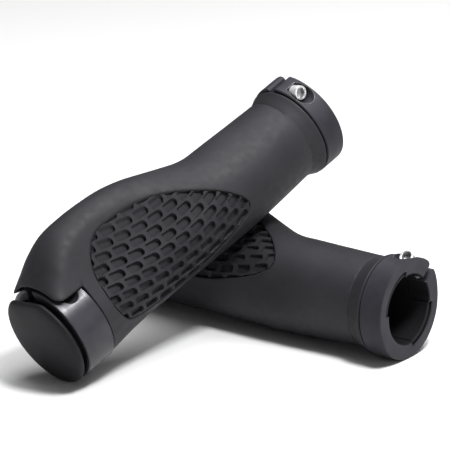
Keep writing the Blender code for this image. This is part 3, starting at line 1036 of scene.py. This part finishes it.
def make_tube():
    """Core tube, keyed at both ends for the lugs of the clamp rings."""
    turn = np.linspace(0, 360, 120, endpoint=False)
    edge = CORE_CHAMFER
    profile = (
        (CORE_START, BORE_RADIUS + edge),
        (CORE_START, CORE_TAB_RADIUS - edge),
        (CORE_START + edge, CORE_TAB_RADIUS),
        (SLEEVE_START, CORE_TAB_RADIUS),
        (SLEEVE_START, CORE_END_RADIUS),
        (CORE_INNER_STEP, CORE_END_RADIUS),
        (CORE_INNER_STEP, CORE_RADIUS),
        (CORE_OUTER_STEP, CORE_RADIUS),
        (CORE_OUTER_STEP, CORE_END_RADIUS),
        (CORE_END - edge, CORE_END_RADIUS),
        (CORE_END, CORE_END_RADIUS - edge),
        (CORE_END, BORE_RADIUS + edge),
        (CORE_END - edge, BORE_RADIUS),
        (CORE_START + edge, BORE_RADIUS),
        (CORE_START, BORE_RADIUS + edge),
    )
    shell = Shell()
    shell.strip([points(s, radius, turn) for s, radius in profile], closed=True)
    cutters = []
    half = KEY_HALF + KEY_CLEARANCE
    near, far = KEY_TOOL_RADII
    for start, end in ((-KEY_OVERRUN, SLEEVE_START), (WING_END, CORE_END + KEY_OVERRUN)):
        for middle in (KEY_TURN, KEY_TURN + 180):
            arc = np.linspace(middle - half, middle + half, 37)
            loops = []
            for s in (start, end):
                loops.append(np.concatenate((points(s, near, arc), points(s, far, arc[::-1]))))
            key = Shell()
            key.prism(loops)
            cutters.append(key.mesh("key"))
    mesh = cut_away(shell.mesh("tube"), cutters)
    add_pieces(mesh, "grip", "core_tube", "core_plastic", sharp=30)


def hexagon(turn, radius):
    """Radius of a hexagon in some direction; radius is its corners'."""
    within = (turn + math.pi / 6) % (math.pi / 3) - math.pi / 6
    return radius * math.cos(math.pi / 6) / np.cos(within)


def make_bolt(word):
    """Socket head with a sunk hexagon, and a threaded shank."""
    station, height, seat, tip = BOLTS[word]
    top = seat + HEAD_LENGTH
    turn = np.linspace(0, 2 * np.pi, 72, endpoint=False)
    round_one = np.ones(72)
    six = hexagon(turn, SOCKET_RADIUS)
    shank = SHANK_RADIUS - THREAD_EASE
    loops = [
        (seat, shank * round_one),
        (seat, (HEAD_RADIUS - HEAD_EDGE) * round_one),
        (seat + HEAD_EDGE, HEAD_RADIUS * round_one),
        *((top - below, (HEAD_RADIUS - inwards) * round_one) for below, inwards in HEAD_CROWN),
        (top, (SOCKET_RADIUS + SOCKET_LIP) * round_one),
        (top - SOCKET_LIP_DEPTH, six),
        (top - SOCKET_DEPTH, six),
        (top - SOCKET_DEPTH - SOCKET_TIP, SOCKET_TIP_RADIUS * round_one),
    ]
    shell = Shell()

    def ring(y, radius):
        return bolt_ring(station, height, y, radius, turn)

    shell.strip([ring(y, radius) for y, radius in loops], closed=True)
    shell.lid(ring(*loops[-1]))
    thread = []
    for y in np.arange(seat, tip - 0.001, -THREAD_PITCH / THREAD_STEPS):
        phase = ((seat - y) / THREAD_PITCH + turn / (2 * np.pi)) % 1
        depth = THREAD_DEPTH * np.abs(2 * phase - 1) * min(1, (seat - y) / THREAD_RUNOUT)
        lead = max(0.0, TIP_CHAMFER - (y - tip))
        thread.append(ring(y, shank - np.maximum(depth, lead)))
    shell.strip(thread, closed=True)
    shell.lid(thread[-1])
    mesh = shell.mesh(f"{word}_bolt")
    empty_slots(mesh, 2)
    # Faces inside the hex socket get the darker steel: painted shade in the recess
    for face in mesh.polygons:
        across = math.hypot(face.center.x - station, face.center.z - height)
        if face.center.y > seat + SOCKET_LOWEST and across < SOCKET_RADIUS:
            face.material_index = 1
    looks = ("bolt_steel", "shaded_socket_steel")
    add_pieces(mesh, f"{word}_bolt", f"{word}_clamp_bolt", "bolt_steel", sharp=32, looks=looks)


def cap_outline(turn):
    """The disc's outline, as a share of its radius: round, with a soft flat on the wing's side."""
    above = np.maximum(np.cos(np.radians(turn)), CAP_LEAST_RISE)
    flat = CAP_FLAT / CAP_RADIUS / above
    mix = np.clip(0.5 + (flat - 1) / (2 * CAP_CORNER), 0, 1)
    return flat * (1 - mix) + mix - CAP_CORNER * mix * (1 - mix)


def make_cap():
    """Ribbed plug, neck and soft disc, with a flat chord on the wing's side."""
    turn = np.linspace(0, 360, 144, endpoint=False)
    profile = list(CAP_PLUG)
    for start in PLUG_RIBS:
        profile.append((start, PLUG_RADIUS))
        profile.append((start + PLUG_RIB_RISE, PLUG_RIB_RADIUS))
        profile.append((start + PLUG_RIB_LENGTH, PLUG_RADIUS))
    profile += CAP_NECK + CAP_DISC
    disc_radii = {radius for _, radius in CAP_DISC}
    loops = []
    for s, radius in profile:
        loops.append(points(s, radius * cap_outline(turn) if radius in disc_radii else radius, turn))
    shell = Shell()
    shell.prism(loops)
    add_pieces(shell.mesh("cap"), "cap", "end_cap", "cap_plastic", sharp=42)


# ---------------------------------------------------------------- floor, lights and camera


def add_floor():
    """Plain pale floor at z = 0."""
    mesh = bpy.data.meshes.new("floor")
    half = FLOOR_HALF
    corners = [(-half, -half, 0), (half, -half, 0), (half, half, 0), (-half, half, 0)]
    mesh.from_pydata(corners, [], [(0, 1, 2, 3)])
    made, tree, shader = new_material("pale_floor")
    cloud = noise_of(tree, 3)
    tree.links.new(ramp(tree, cloud, (0.78, 0.78, 0.78), (0.8, 0.8, 0.8)), shader.inputs["Base Color"])
    shader.inputs["Roughness"].default_value = 0.9
    shader.inputs["Specular IOR Level"].default_value = 0.1
    mesh.materials.append(made)
    floor = linked("floor", mesh)


def add_light(name, place, target, size, power):
    """Rectangular area light that points at a target."""
    lamp = bpy.data.lights.new(name, "AREA")
    lamp.shape = "RECTANGLE"
    lamp.size, lamp.size_y = size
    lamp.energy = power
    made = linked(name, lamp)
    made.location = place
    made.rotation_euler = (Vector(target) - Vector(place)).to_track_quat("-Z", "Y").to_euler()


def add_studio():
    """White surroundings and soft lights."""
    world = bpy.data.worlds.new("studio")
    bpy.context.scene.world = world
    world.use_nodes = True
    background = world.node_tree.nodes["Background"]
    background.inputs["Color"].default_value = (1, 1, 1, 1)
    background.inputs["Strength"].default_value = WORLD_STRENGTH
    for light in LIGHTS:
        add_light(*light)
    bpy.context.scene.view_settings.view_transform = "Standard"
    bpy.context.scene.view_settings.gamma = 0.85


def add_camera():
    """Camera placed from the left grip's inner face."""
    camera = bpy.data.cameras.new("camera")
    camera.lens = CAMERA_LENS
    camera.sensor_width = CAMERA_SENSOR
    camera.clip_end = 20
    made = linked("camera", camera)
    back = -CAMERA_FORWARD.normalized()
    right = CAMERA_UP.cross(back).normalized()
    up = back.cross(right)
    turned = Matrix((right, up, back)).transposed().to_4x4()
    made.matrix_world = Matrix.Translation(FRAMES["left"].translation + CAMERA_OFFSET) @ turned
    bpy.context.scene.camera = made


make_sleeve()
make_inserts()
make_tube()
make_ring("inner", *INNER_RING)
make_ring("outer", *OUTER_RING)
for end_word in BOLTS:
    make_bolt(end_word)
make_cap()
add_floor()
add_studio()
add_camera()
